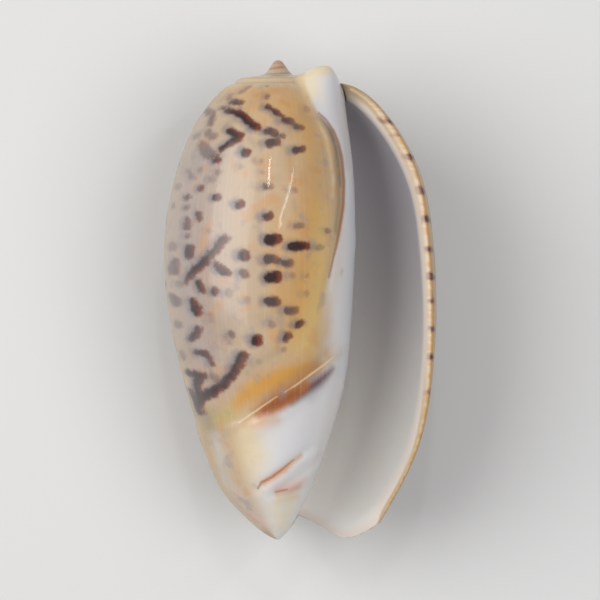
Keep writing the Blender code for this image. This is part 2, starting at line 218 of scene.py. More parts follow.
BACK_MARKS = (
    # the line that bounds the pattern on the lip's side
    (1.0, (110, 92, 3), (102, 100, 6), (93, 117, 9), (80, 137, 11), (70, 155, 10), (62, 172, 8),
     (57, 197, 6),
     (55, 222, 5), (55, 247, 5), (57, 272, 5), (61, 297, 5.5), (66, 325, 6), (69, 347, 7),
     (73, 365, 6), (77, 387, 4.4),
     (82, 410, 4.4), (90, 430, 5), (98, 452, 4.4), (106, 470, 4.4), (111, 485, 6)),
    (0.95, (24, 312, 0.3), (27, 325, 1.4), (31, 340, 2.6), (37, 367, 3.2), (45, 400, 3.2),
     (51, 424, 4.4), (60, 448, 5.4), (70, 470, 5.4),
     (82, 488, 5), (99, 502, 5), (117, 509, 5.4), (137, 512, 3)),
    # rungs between the two lines
    (0.8, (42, 180, 3), (58, 180, 3)),
    (0.85, (38, 206, 4), (56, 203, 3)),
    (0.9, (36, 222, 3), (54, 224, 4)),
    (0.85, (34, 243, 3), (53, 243, 3)),
    (0.8, (33, 258, 2.5), (54, 257, 2.5)),
    (0.85, (34, 276, 4), (56, 276, 3)),
    (0.8, (34, 298, 3), (60, 298, 2.5)),
    (0.8, (36, 318, 4), (62, 318, 3)),
    (1.0, (39, 360, 4), (48, 352, 5), (60, 346, 4)),
    (0.95, (42, 372, 2), (54, 374, 4), (66, 372, 3)),
    (0.95, (45, 388, 2), (54, 379, 6), (66, 374, 3)),
    (0.95, (48, 404, 3), (60, 404, 4), (79, 408, 2)),
    (0.9, (54, 418, 5), (66, 410, 4), (78, 410, 2)),
    (0.95, (58, 436, 5), (72, 434, 2.4), (88, 430, 2.4)),
    (0.95, (64, 452, 5), (78, 452, 2.6), (94, 446, 2.4)),
    (0.95, (72, 468, 5), (86, 468, 2.6), (100, 460, 2.4)),
    (0.95, (82, 480, 5), (94, 476, 3), (106, 472, 3)),
    (0.95, (92, 494, 4), (104, 486, 3), (112, 490, 6), (118, 498, 5)),
    # zigzags under the shoulder
    (0.95, (131, 103, 2), (122, 106, 2), (113, 110, 3), (120, 115, 3), (127, 119, 3), (118, 122, 3),
     (110, 126, 3),
     (118, 129, 4), (126, 129, 3), (115, 133, 5), (107, 137, 4)),
    (0.95, (131, 121, 2), (141, 121, 3), (137, 126, 4), (131, 127, 2)),
    (1.0, (114, 144, 8), (124, 145, 9), (132, 143, 7), (135, 151, 4), (142, 157, 3)),
    (0.9, (120, 150, 6), (108, 152, 6), (97, 157, 5)),
    (0.85, (110, 160, 3), (106, 170, 4), (100, 177, 4), (93, 184, 3.4), (84, 190, 2.6), (76, 196, 2.4)),
    (0.85, (144, 162, 2.6), (138, 166, 3), (130, 170, 2.6), (123, 175, 2.2), (131, 177, 2),
     (140, 180, 2.8),
     (130, 185, 2), (119, 191, 2.2), (106, 200, 2.4), (95, 208, 2.4), (85, 214, 3.4), (97, 218, 2.2)),
    (0.9, (143, 107, 2.2), (150, 106, 2.6)),
    (0.4, (155, 114, 2), (165, 112, 2)),
    (0.9, (148, 132, 2.4), (155, 132, 3.4)),
    (0.5, (146, 162, 1.6), (160, 161, 1.6), (170, 160, 1.4)),
    (0.6, (158, 198, 3), (167, 197, 3)),
    (0.75, (130, 210, 4.4)),
    (0.8, (108, 220, 3), (118, 223, 4), (127, 227, 4)),
    (0.6, (70, 229, 4)),
    (0.85, (97, 236, 5)),
    (0.7, (112, 241, 4)),
    (0.6, (98, 250, 3.4), (105, 248, 3)),
    (0.6, (73, 246, 3.6)),
    (0.8, (138, 251, 5.4)),
    (0.85, (83, 259, 5)),
    (0.75, (104, 264, 4.4)),
    (0.8, (118, 269, 5)),
    (0.75, (140, 275, 3), (148, 275, 3.4)),
    (0.8, (74, 276, 3.4), (84, 280, 4.4), (91, 285, 4.4)),
    (0.8, (104, 291, 5)),
    (0.5, (160, 226, 2.4), (171, 227, 2.4)),
    (0.7, (162, 268, 2), (172, 267, 2.6), (184, 261, 2)),
    (0.5, (172, 276, 2.4), (182, 276, 2)),
    # streaks that run into the middle band
    (0.45, (165, 232, 1.4), (180, 231, 2), (196, 230, 2.4)),
    (0.45, (170, 241, 1.4), (186, 242, 2), (200, 243, 2.4)),
    (0.50, (183, 286, 1.6), (194, 285, 2.2), (206, 286, 2.6)),
    (0.45, (178, 296, 1.2), (190, 297, 1.8), (204, 298, 2.2)),
    (0.40, (190, 150, 1.6), (178, 144, 1.2)),
    # chevrons across the middle
    (1.0, (118, 294, 2.4), (136, 296, 3), (150, 300, 3.6), (162, 302, 4), (168, 305, 4),
     (160, 311, 3.6), (150, 317, 3.2),
     (138, 325, 3.6), (127, 331, 4), (121, 338, 4), (125, 345, 3), (119, 353, 3), (109, 362, 3.6),
     (98, 374, 4),
     (88, 384, 3), (84, 389, 2.4)),
    (0.75, (75, 303, 3), (88, 306, 3), (104, 309, 3.4), (118, 315, 3.4), (108, 323, 3), (96, 331, 3),
     (84, 340, 3.4)),
    (0.95, (180, 320, 4), (175, 328, 4), (165, 337, 3.6), (156, 344, 3.4), (146, 351, 3.4),
     (139, 359, 3), (131, 369, 2)),
    (0.75, (232, 335, 3), (218, 339, 3), (208, 344, 2.6), (198, 349, 2.6), (185, 358, 3),
     (171, 367, 2.4)),
    (0.85, (160, 373, 4), (159, 379, 3.4)),
    (0.8, (197, 372, 4.4)),
    (0.8, (149, 397, 4)),
    (0.3, (133, 392, 4)),
    (0.95, (96, 410, 4.4)),
    (0.8, (170, 413, 2.4), (167, 417, 4), (165, 424, 2)),
    (0.8, (202, 415, 4), (196, 424, 2.4), (191, 430, 4), (195, 435, 2.4)),
    (0.7, (205, 442, 4)),
    (0.9, (120, 376, 2.4), (122, 385, 3), (120, 391, 3), (112, 397, 4), (110, 403, 3)),
    (0.95, (115, 411, 3), (122, 413, 4), (130, 416, 2.6), (141, 417, 3), (137, 426, 3),
     (127, 436, 3.4), (121, 444, 3),
     (116, 451, 2)),
    (0.9, (146, 437, 3), (147, 445, 4.4), (152, 450, 3)),
    (0.85, (160, 446, 2.4), (172, 448, 2.6), (183, 447, 2)),
    (0.9, (178, 395, 3), (190, 396, 2.4), (204, 397, 2), (220, 397, 2.4)),
    (0.9, (104, 457, 3), (116, 461, 3), (132, 465, 2.6), (150, 465, 2.6), (172, 462, 2.4),
     (190, 459, 2.6), (206, 457, 2)),
    (0.85, (114, 472, 3), (128, 483, 3.4), (146, 484, 2.6), (161, 482, 2.4), (178, 478, 2.6),
     (192, 474, 3.4)),
    (0.8, (134, 490, 6), (140, 497, 6), (132, 505, 5)),
    (0.35, (157, 503, 5), (166, 503, 3)),
    # past the raised band
    (0.35, (198, 492, 2.4), (206, 487, 2)),
    (0.3, (215, 474, 2.4), (222, 470, 2)),
    (0.3, (176, 506, 3)),
    (0.4, (240, 455, 2)),
    (0.3, (140, 528, 3), (148, 526, 2)),
    (0.25, (118, 524, 3)),
)
# Broad ragged bands down the back, as closed outlines.
BACK_BANDS = (
    (1.0, (
        (169, 103), (180, 99), (192, 101), (184, 106), (205, 109), (196, 113), (206, 122), (198, 126),
        (211, 142),
        (206, 147), (218, 162), (208, 170), (213, 180), (224, 194), (214, 201), (222, 209),
        (236, 213), (226, 222),
        (231, 232), (241, 241), (229, 252), (234, 262), (243, 272), (238, 279), (248, 287),
        (237, 296), (246, 304),
        (256, 321), (247, 330), (239, 335), (248, 347), (240, 353), (231, 362), (238, 372),
        (230, 384), (244, 387),
        (267, 381), (265, 387), (252, 396), (243, 405), (247, 414), (253, 427), (249, 437),
        (234, 448), (224, 452),
        (231, 441), (224, 425), (226, 409), (217, 396), (224, 383), (214, 372), (218, 360),
        (212, 350), (220, 342),
        (208, 326), (208, 311), (199, 300), (205, 284), (201, 272), (207, 258), (199, 247),
        (206, 238), (197, 226),
        (201, 218), (186, 203), (190, 196), (180, 173), (184, 166), (172, 156), (178, 150),
        (166, 138), (175, 132),
        (170, 122), (177, 115))),
    (1.0, (
        (209, 94), (222, 101), (232, 106), (229, 111), (238, 120), (245, 127), (242, 133), (250, 142),
        (247, 148),
        (256, 160), (253, 167), (251, 172), (260, 180), (264, 190), (260, 198), (270, 208),
        (269, 218), (277, 230),
        (271, 242), (279, 256), (273, 268), (280, 284), (274, 296), (280, 309), (272, 320),
        (278, 342), (270, 354),
        (275, 366), (265, 378), (256, 374), (259, 352), (255, 340), (262, 328), (257, 312),
        (261, 300), (254, 290),
        (260, 276), (253, 262), (258, 250), (250, 238), (255, 226), (246, 214), (250, 200),
        (240, 190), (245, 180),
        (236, 170), (238, 158), (229, 150), (231, 137), (222, 130), (221, 117), (212, 112))),
)

# Soft tints: a colour, how strong it is, over what distance it fades, then points as above.
PAD_EDGE = ((459, 116, 1), (468, 124, 1.4), (475, 135, 1.8), (481, 148, 2), (484, 162, 2.2),
(486, 185, 2.2),
            (485, 210, 2), (481, 236, 1.8), (475, 262, 1.4), (468, 290, 0.8))
MAIN_RIDGE = ((478, 355, 0), (466, 365, 0), (453, 376, 0), (435, 389, 0), (421, 397, 0),
(398, 413, 0), (382, 425, 0),
              (362, 437, 0))
FOLD = ((452, 449, 0), (445, 454, 0), (432, 463, 0), (418, 475, 0), (408, 481, 0), (401, 487, 0),
(398, 492, 0))
LOWER_FOLD = ((462, 460, 0), (449, 470, 0), (437, 480, 0), (426, 489, 0), (416, 496, 0))

# Low relief on the front and the back: height, breadth and where.
FRONT_RELIEF = (
    (0.05, 0.45, MAIN_RIDGE),
    (-0.03, 0.45, ((474, 350, 0), (450, 369, 0), (432, 381, 0), (418, 388, 0), (395, 404, 0))),
    (-0.12, 0.40, FOLD),
    (0.10, 0.45, ((457, 455, 0), (440, 467, 0), (424, 479, 0), (409, 491, 0))),
    (-0.09, 0.38, LOWER_FOLD),
    (0.07, 0.45, ((462, 466, 0), (446, 480, 0), (432, 491, 0))),
    (-0.05, 0.35, PAD_EDGE),
    (0.05, 0.5, ((455, 112, 0), (465, 132, 0), (472, 155, 0), (475, 185, 0), (475, 215, 0),
     (472, 245, 0), (466, 275, 0))),
)
BACK_CREASE = ((263, 412, 0), (259, 424, 0), (250, 438, 0), (228, 454, 0), (195, 477, 0),
(170, 493, 0), (149, 505, 0),
               (125, 517, 0))
BACK_RELIEF = ((0.06, 0.40, BACK_CREASE),)

# Colours of the ground and of the markings.
CREAM = (0.56, 0.395, 0.235)
PALE_CREAM = (0.80, 0.64, 0.40)
# Lilac: the back's own tint, and a painted sheen on the front's left side.
LILAC_AND_SHEEN = (0.38, 0.315, 0.30)
TAN = (0.50, 0.34, 0.15)
AMBER = (0.62, 0.30, 0.045)
YELLOW = (0.74, 0.52, 0.17)
ORANGE = (0.58, 0.22, 0.04)
RUST = (0.38, 0.115, 0.018)
CHESTNUT = (0.40, 0.17, 0.05)
PURPLE_BROWN = (0.13, 0.05, 0.06)
OLIVE = (0.30, 0.23, 0.12)
OLIVE_YELLOW = (0.56, 0.42, 0.12)
WHITE = (0.74, 0.72, 0.71)
# A bluish white, used only for painted sheen.
BLUE_WHITE_SHEEN = (0.60, 0.70, 0.80)
PLATEAU = (0.62, 0.46, 0.28)
TIP_CREAM = (0.84, 0.72, 0.50)
TIP_PINK = (0.66, 0.52, 0.47)
ROSE = (0.76, 0.44, 0.33)
KNOB_CREAM = (0.78, 0.62, 0.34)
# Inside the opening: painted shade near its top, then the colour further down.
INSIDE_PAINTED_SHADE = (0.60, 0.57, 0.60)
INSIDE_LOW = (0.80, 0.77, 0.72)
LIP_CREAM = (0.78, 0.68, 0.60)
RED_BROWN = (0.17, 0.036, 0.012)
DARK_BROWN = (0.032, 0.013, 0.012)
BLUE_GREY = (0.16, 0.155, 0.18)
PINK = (0.50, 0.24, 0.15)
GROUND_GREY = (0.42, 0.36, 0.28)
SPOT_RED = (0.30, 0.06, 0.02)
SAND = (0.50, 0.42, 0.27)
STREAK_CREAM = (0.80, 0.72, 0.58)
CLOUD_BROWN = (0.34, 0.24, 0.14)
BLOTCH_GREY = (0.30, 0.26, 0.27)
BLOTCH_ORANGE = (0.62, 0.27, 0.08)
FAINT_INK = (0.13, 0.10, 0.11)
RIDGE_HIGHLIGHT = (0.84, 0.66, 0.44)
CREASE_BROWN = (0.32, 0.11, 0.035)
FLECK_BROWN = (0.20, 0.085, 0.035)
WARM_TAN = (0.60, 0.35, 0.16)
SEAM_BROWN = (0.11, 0.065, 0.045)

# Soft tints: a colour, how strong it is, over what distance it fades, then points as above.
FRONT_TINTS = (
    # These two lilac tints are a painted reflection: a milky lilac sheen over the left side, where the
    # shell turns away.
    (LILAC_AND_SHEEN, 0.85, 3.0, ((334, 170, 20), (328, 220, 26), (328, 280, 28), (336, 335, 24), (348, 380, 14))),
    (LILAC_AND_SHEEN, 0.50, 2.0, ((343, 120, 8), (338, 160, 12))),
    (AMBER, 0.40, 2.0, ((360, 95, 6), (385, 95, 10), (420, 110, 14), (445, 130, 8))),
    (AMBER, 0.65, 2.2, ((438, 108, 5), (450, 140, 9), (455, 180, 10), (455, 215, 10))),
    (AMBER, 0.85, 2.8, ((452, 225, 8), (448, 260, 16), (442, 300, 18), (436, 335, 12))),
    (YELLOW, 0.65, 1.6, ((464, 215, 4), (464, 250, 6), (461, 285, 7), (456, 320, 8), (448, 348, 7))),
    (AMBER, 0.55, 1.2, ((417, 205, 2), (418, 250, 3), (420, 300, 3))),
    (ORANGE, 0.55, 0.7, ((432, 163, 1.5), (432, 182, 1.8))),
    (ORANGE, 0.40, 0.6, ((444, 175, 1), (446, 205, 1))),
    (ORANGE, 0.75, 0.30, ((433, 183, 1.2), (436, 186, 1))),
    (ORANGE, 0.70, 0.30, ((426, 191, 1), (428, 194, 1))),
    (ORANGE, 0.75, 0.30, ((437, 193, 1.4), (439, 196, 0.8))),
    (ORANGE, 0.60, 0.30, ((412, 189, 0.8), (414, 192, 0.8))),
    (ORANGE, 0.60, 0.30, ((431, 225, 1), (432, 229, 1))),
    (ORANGE, 0.55, 0.30, ((447, 232, 1.2), (448, 238, 1))),
    (ORANGE, 0.60, 0.35, ((399, 100, 1.6), (406, 97, 1))),
    (ORANGE, 0.60, 0.35, ((424, 106, 1.4), (431, 110, 1.2))),
    (BLUE_GREY, 0.35, 0.45, ((418, 140, 1.2), (424, 150, 1.2))),
    (BLUE_GREY, 0.30, 0.45, ((392, 142, 1), (397, 150, 1.2))),
    (BLUE_GREY, 0.30, 0.45, ((436, 205, 1), (437, 214, 1))),
    (CHESTNUT, 0.30, 1.2, ((350, 250, 3), (352, 300, 3), (358, 345, 3))),
    (OLIVE, 0.75, 1.0, ((348, 420, 10), (354, 432, 6))),
    (TAN, 0.75, 0.9, ((347, 444, 7), (352, 462, 6), (358, 478, 5))),
    (OLIVE_YELLOW, 0.75, 0.9, ((362, 421, 4), (374, 414, 4))),
    (OLIVE, 0.40, 0.9, ((390, 374, 3), (404, 362, 4), (418, 355, 3))),
    (AMBER, 0.95, 0.9, ((379, 405, 5), (390, 395, 9), (405, 386, 10), (426, 377, 9), (448, 368, 5))),
    (CHESTNUT, 0.90, 0.8, ((408, 408, 3), (426, 394, 6), (442, 382, 7), (458, 369, 5))),
    (PALE_CREAM, 0.70, 1.4, ((388, 440, 6), (398, 458, 8))),
    # A painted bluish-white sheen, a reflection, down the lower left.
    (BLUE_WHITE_SHEEN, 0.55, 0.8, ((360, 437, 2), (364, 463, 2), (370, 486, 2))),
    (TIP_PINK, 0.75, 1.1, ((380, 495, 4), (390, 510, 5), (403, 526, 5))),
    (TIP_CREAM, 0.80, 1.2, ((418, 510, 6), (424, 524, 8), (432, 508, 6))),
    (PURPLE_BROWN, 0.95, 0.55, ((472, 371, 2), (466, 377, 4), (457, 384, 5.4), (444, 394, 5.4),
     (433, 402, 4))),
    (CHESTNUT, 0.80, 0.7, ((396, 412, 3), (410, 402, 5), (424, 393, 6))),
    (RUST, 1.0, 0.5, ((446, 388, 4), (436, 396, 6), (424, 404, 7.4), (413, 410, 7), (402, 417, 4))),
    (RED_BROWN, 0.60, 0.45, ((438, 394, 2), (428, 400, 3.4), (417, 407, 3), (408, 413, 2))),
    (ORANGE, 0.65, 0.9, ((418, 421, 2), (406, 424, 3), (394, 426, 2))),
    (ORANGE, 0.85, 0.4, ((442, 457, 1), (434, 464, 2), (426, 471, 3), (416, 478, 3), (406, 485, 2))),
    (ROSE, 0.75, 0.8, ((420, 490, 3), (432, 487, 3.6), (444, 484, 3))),
    (ORANGE, 0.65, 0.5, ((420, 495, 2), (431, 492, 2.4), (440, 489, 1.6))),
    (YELLOW, 0.60, 0.7, ((421, 502, 2.4), (439, 498, 2.4))),
    (SPOT_RED, 0.65, 0.35, ((403, 533, 0.8), (409, 538, 1))),
    # A painted highlight: a pale line down the pad's edge, beside its seam.
    (PALE_CREAM, 0.75, 0.30, ((460, 126, 0.6), (467, 142, 1.2), (471, 160, 1.6), (474, 180, 1.4),
     (474, 200, 0.8))),
    (OLIVE, 0.90, 0.35, ((462, 119, 1), (470, 133, 2), (476, 148, 2.4), (479, 175, 2.2),
     (480, 205, 1.6), (477, 235, 1.4))),
    (SEAM_BROWN, 0.80, 0.25, ((464, 122, 0.8), (472, 135, 1.4), (477, 150, 1.4), (480, 168, 1),
     (482, 190, 0.4))),
)
# Tints over the white pad, with painted shade round the knob's foot and a painted bluish sheen along its
# right edge.
PAD_PAINTED_SHADE = (0.50, 0.47, 0.50)
PAD_TINTS = (
    (KNOB_CREAM, 0.75, 1.3, ((447, 86, 5), (455, 100, 4))),
    # These two are painted shade round the knob's foot, as light falls on its bulge.
    (PAD_PAINTED_SHADE, 0.75, 0.9, ((474, 92, 2), (480, 115, 3), (485, 140, 2.6), (489, 170, 2))),
    (PAD_PAINTED_SHADE, 0.35, 0.9, ((455, 107, 1), (462, 118, 2), (470, 128, 1.6))),
    # A painted bluish sheen along the pad's right edge, where it rolls into the opening.
    (BLUE_WHITE_SHEEN, 0.60, 0.9, ((494, 190, 2), (496, 240, 3), (495, 290, 3), (491, 340, 3), (484, 375, 3))),
    (AMBER, 0.30, 0.8, ((483, 225, 1), (480, 260, 2), (474, 300, 2.4), (467, 335, 3))),
    (ORANGE, 0.55, 0.3, ((484, 273, 0.8), (483, 277, 0.6))),
    (PURPLE_BROWN, 0.25, 0.8, ((470, 372, 3), (462, 388, 3), (452, 400, 2))),
)

# Fine lines: ridges, with a painted highlight along them, and dark creases, as above.
RIDGE_LINES = (
    (0.75, (475, 358, 0.5), (453, 376, 0.8), (438, 387, 0.6), (425, 395, 0.3)),
    (0.35, (421, 397, 0.3), (398, 413, 0.5), (382, 425, 0.4)),
    (0.5, (460, 460, 0.3), (449, 469, 0.7), (439, 477, 0.4)),
)
CREASE_LINES = (
    (0.8, (459, 116, 0.2), (468, 124, 0.6), (475, 135, 1.1), (481, 148, 1.4), (484, 162, 1.5),
     (486, 185, 1.5),
     (485, 210, 1.4), (481, 236, 1.2), (475, 262, 0.7), (470, 282, 0.2)),
    (0.85, (437, 460, 0.1), (425, 470, 0.5), (415, 478, 0.7), (404, 484, 0.8), (399, 491, 0.4)),
    (0.5, (417, 494, 0.2), (424, 492, 0.5), (430, 491, 0.2)),
)
BACK_LINES = ((0.6, (263, 412, 0.5), (259, 424, 0.6), (250, 438, 0.7), (228, 454, 0.7),
(195, 477, 0.7), (170, 493, 0.7),
               (149, 505, 0.6), (125, 517, 0.4)),)
BACK_TINTS = (
    (YELLOW, 0.75, 0.7, ((204, 106, 2), (214, 130, 5), (224, 160, 6), (236, 190, 7), (246, 220, 7),
     (252, 250, 6),
                         (256, 290, 6), (261, 330, 5), (258, 360, 6), (256, 385, 6))),
    (AMBER, 0.35, 2.5, ((262, 400, 8), (250, 425, 8))),
    (SAND, 0.75, 4.0, ((95, 140, 8), (95, 220, 25), (105, 300, 25), (115, 380, 20), (130, 440, 14))),
    (WARM_TAN, 0.60, 2.5, ((150, 100, 8), (165, 125, 12), (170, 160, 10), (172, 200, 8))),
    (WARM_TAN, 0.45, 2.0, ((185, 300, 8), (190, 350, 10), (192, 400, 8))),
    (GROUND_GREY, 0.90, 1.2, ((100, 520, 6), (135, 524, 5), (165, 508, 9), (200, 490, 12),
     (232, 465, 12), (255, 438, 8))),
    (LILAC_AND_SHEEN, 0.55, 1.0, ((78, 500, 3), (95, 512, 4), (112, 522, 4), (128, 524, 3))),
    (LILAC_AND_SHEEN, 0.50, 2.2, ((70, 115, 5), (48, 150, 8), (34, 200, 10), (28, 260, 10), (26, 310, 8))),
    (YELLOW, 0.45, 1.0, ((258, 425, 3), (245, 445, 5), (225, 462, 4))),
    (GROUND_GREY, 0.35, 1.5, ((100, 515, 8), (120, 530, 8))),
    (SPOT_RED, 0.95, 0.45, ((184, 517, 2.4), (192, 518, 4), (200, 515, 4), (204, 520, 2.4))),
    (SPOT_RED, 0.50, 0.4, ((112, 530, 1), (122, 538, 1.6))),
    (SPOT_RED, 0.35, 0.6, ((44, 180, 6), (42, 225, 7), (44, 300, 7))),
)
HALO_SHIFT = 0.5  # the bluish shade lies this far to the younger side of each mark
SPREAD = 0.05  # the marks have run this much since they were drawn
LEAST_FACING = 0.35  # a mark near the outline is widened at most by one over this
SPIRE_GROWTH = 1.6  # of the early whorls' radius, in one turn
LINE_REACH = 0.6  # a fine line is looked for no further away than this
FAR = 3.0  # stands for a distance that is too great to matter

# Where the white beside the opening starts: depths, then how far across.
WHITE_LEFT = (
    (2.4, 4.0, 5.4, 7.2, 9.7, 12.2, 14.7, 17.2, 19.7, 22.7, 26.0, 29.5),
    (2.6, 3.2, 3.9, 5.5, 6.4, 6.65, 6.65, 6.2, 5.5, 4.9, 4.8, 5.2),
)
# Where the white below the main ridge starts: how far across, then depths.
WHITE_TOP = (
    (-8.5, -5.8, -3.8, -2.2, 0.1, 1.5, 3.3, 5.8, 8.0),
    (39, 37.4, 36.2, 35, 33.4, 32.6, 31.3, 29.2, 27.4),
)

# The table and the camera, in metres. The lens and its sensor are in millimetres.
TABLE_HALF = 0.6
TABLE_HEIGHT = -0.00002
LENS = 400.0
SENSOR = 36.0
FRAME_WIDTH = 0.060  # is what the picture spans at this height
FRAMED_HEIGHT = 0.013


def ease(low, high, value):
    """A smooth step, 0 up to low and 1 from high on."""
    share = np.clip((value - low) / (high - low), 0.0, 1.0)
    return share * share * (3.0 - 2.0 * share)


def rounded(share):
    """A quarter of a circle, 0 at share 0 and 1 from share 1 on."""
    rest = 1.0 - np.clip(share, 0.0, 1.0)
    return np.sqrt(1.0 - rest * rest)


def smooth_line(heights, share):
    """The natural cubic spline through heights at even steps, read at shares from 0 to 1."""
    heights = np.asarray(heights)
    last = len(heights) - 1
    bends = 4.0 * np.eye(last + 1) + np.eye(last + 1, k=1) + np.eye(last + 1, k=-1)
    bends[0] = bends[last] = 0.0
    bends[0, 0] = bends[last, last] = 1.0
    pull = np.zeros(last + 1)
    pull[1:-1] = 6.0 * (heights[2:] - 2.0 * heights[1:-1] + heights[:-2])
    curvature = np.linalg.solve(bends, pull)
    place = np.clip(share, 0.0, 1.0) * last
    first = np.minimum(place.astype(int), last - 1)
    after = place - first
    before = 1.0 - after
    straight = heights[first] * before + heights[first + 1] * after
    bent = (before**3 - before) * curvature[first] + (after**3 - after) * curvature[first + 1]
    return straight + bent / 6.0


def coil(lip, left, pillar, turn):
    """A radius that falls exponentially with the turn, through three radii half a turn apart."""
    ratio = np.clip((left - pillar) / (lip - left), 0.02, 0.97)
    fall = (lip - left) / (1.0 - ratio)
    return lip - fall * (1.0 - ratio ** (turn / math.pi))


def bare_radius(turn, depth):
    """Distance from the axis to the outside of the whorl: the coil through the three outlines,
    read at this depth, and kept fuller beside the spout."""
    share = np.arccos(1.0 - 2.0 * np.clip((depth - SUTURE_DEPTH) / WHORL_LENGTH, 0.0, 1.0)) / math.pi
    lip, left, pillar = (smooth_line(o, share) for o in (LIP_OUTLINE, LEFT_OUTLINE, PILLAR_OUTLINE))
    missing = np.maximum(pillar + SPOUT_FULLNESS * (lip - pillar) - left, 0.0)
    full = left + missing * ease(*SPOUT_DEPTHS, depth)
    near = coil(lip, full, pillar, turn)
    far = coil(lip, left, pillar, turn)
    return near + (far - near) * ease(math.radians(60), math.radians(170), turn)


def callus(turn, depth):
    """Thickness of the pad on the whorl below the lip: what closes the gap at its top, thinning
    exponentially down the pillar, between two smooth steps of the turn."""
    start = math.radians(LIP_TURNS[0])
    at_suture = np.array(SUTURE_DEPTH)
    whole_gap = bare_radius(start, at_suture) - bare_radius(start + 2 * math.pi, at_suture)
    below = np.maximum(depth - SUTURE_DEPTH, 0.0)
    top = (whole_gap - CALLUS_PAD) * np.exp(-below / CALLUS_TOP_LENGTH)
    pad = CALLUS_PAD * np.exp(-((below / CALLUS_PAD_LENGTH) ** 2))
    edge = math.radians(295) + math.radians(20) * ease(3.0, 14.0, depth)
    inwards = ease(math.radians(370), math.radians(430), turn)
    return (top + pad) * ease(edge, edge + math.radians(45), turn) * (1.0 - inwards)


def whorl_radius(turn, depth):
    """Distance from the axis to the outside of the shell, the raised band left out."""
    return bare_radius(turn, depth) + callus(turn, depth)


def band(turn, depth):
    """Height of the band round the lower end, with a low ridge along its upper edge that is
    plainest beside the opening."""
    start, end = BAND_TURNS
    past = depth - smooth_line(BAND_DEPTHS, (turn - start) / (end - start))
    front = 0.3 + 0.7 * ease(math.radians(215), math.radians(265), turn)
    ridge = RIDGE_HEIGHT * front * np.exp(-(((past - 0.9) / 1.1) ** 2))
    ends = ease(start - 0.3, start + 0.5, turn) * (1.0 - ease(end - 0.25, end + 0.1, turn))
    tip = 1.0 - ease(NOTCH_DEPTH - 4.0, NOTCH_DEPTH, depth)
    return (BAND_HEIGHT * ease(-0.7, 0.7, past) + ridge) * ends * tip


def knob(turn):
    """The share of the pad's full rise at this turn, steep towards the lip."""
    past = turn - KNOB_TURN
    width = np.where(past > 0.0, KNOB_WIDTHS[1], KNOB_WIDTHS[0])
    return np.cos(0.5 * math.pi * np.clip(np.abs(past) / width, 0.0, 1.0)) ** 2


def lip_turn(down):
    """The turn at which the lip's edge lies, at a share of the way down."""
    return np.radians(smooth_line(LIP_TURNS, down))


def edge_depth(turn):
    """How deep the whorl reaches: the lobe up to the notch, and the notch's own depth past it."""
    return smooth_line(LOBE_DEPTHS, (turn - CORNER_TURN) / (NOTCH_TURN - CORNER_TURN))


def steps_down():
    """Shares of the way down at each step, close together at the shoulder and at the end."""
    share = np.linspace(0.0, 1.0, DEPTH_STEPS + 1)
    top, end, reach = 0.93, 0.8, 0.09
    at_top = top * (1.0 - np.exp(-share / reach))
    at_end = end * (np.exp((share - 1.0) / reach) - math.exp(-1.0 / reach))
    down = share - reach * (at_top + at_end)
    return (down / down[-1])[:, None]


def steps_across(count):
    """Shares of the way across at each step, closer together at both ends."""
    share = np.linspace(0.0, 1.0, count + 1)
    return 0.7 * (1.0 - np.cos(math.pi * share)) / 2.0 + 0.3 * share


def points(turn, radius, depth):
    """Points in the shell's own frame: the lip to +X, the spire to +Y, the opening to +Z."""
    turn, radius, depth = np.broadcast_arrays(turn, radius, depth)
    return np.stack([radius * np.cos(turn), -depth, -radius * np.sin(turn)], axis=-1)


def inner_radius(turn, depth, past_lip):
    """Distance from the axis to the inside of the wall: the outside moved in and down by the
    wall's thickness, which runs out in a rounding towards the lip's and the lobe's edge."""
    outside = whorl_radius(turn, depth)
    from_lip = outside * past_lip
    from_lobe = np.hypot(edge_depth(turn) - depth, outside * np.maximum(turn - NOTCH_TURN, 0.0))
    round_in = rounded(from_lip / LIP_ROUNDING) * rounded(from_lobe / LIP_ROUNDING)
    return whorl_radius(turn, depth - WALL * 0.7 * round_in) - WALL * round_in


def turned_in(turn, depth, past_lip):
    """How far the outer face turns in along the lip's and the lobe's edge."""
    outside = whorl_radius(turn, depth)
    from_lobe = np.where(turn < NOTCH_TURN, edge_depth(turn) - depth, EDGE_ROUNDING)
    nearest = np.minimum(outside * past_lip, from_lobe)
    return EDGE_TURNED_IN * (1.0 - rounded(nearest / EDGE_ROUNDING))


def hollow_radii(turn, depth, roof, past_lip, to_end):
    """Distances from the axis to the pillar side and the wall side of the hollow. They meet in a
    rounding at its roof and at its far end."""
    pillar = whorl_radius(turn + 2 * math.pi, depth)
    wall = inner_radius(turn, depth, past_lip)
    least = NARROWEST_GAP * (1.0 - np.exp(-(depth - SUTURE_DEPTH) / 0.5))
    below_roof = (depth - roof) / np.maximum(ROOF_ROUNDING * (roof - SUTURE_DEPTH) / ROOF_THICKNESS, 1e-6)
    wall = pillar + np.maximum(wall - pillar, least) * np.where(past_lip > 1e-9, rounded(below_roof), 1.0)
    pillar = wall - (wall - pillar) * rounded(to_end / HOLLOW_ROUNDING)
    return pillar, wall


def found_turns(across, depth, low, high):
    """The turn between low and high at which the whorl at each depth is that far across."""
    turns = np.linspace(low, high, 160)
    reach = whorl_radius(turns[None, :], depth[:, None]) * np.cos(turns)
    return turns[np.abs(reach - across[:, None]).argmin(axis=1)]


def on_front(drawn):
    """Turns and depths of points drawn on the front: where the outline at that depth, seen from
    the front, lies as far across."""
    across = (drawn[:, 0] - FRONT_TIP[0]) / TENTHS
    depth = (drawn[:, 1] - FRONT_TIP[1]) / TENTHS
    return found_turns(across, depth, math.radians(170), math.radians(342)), depth


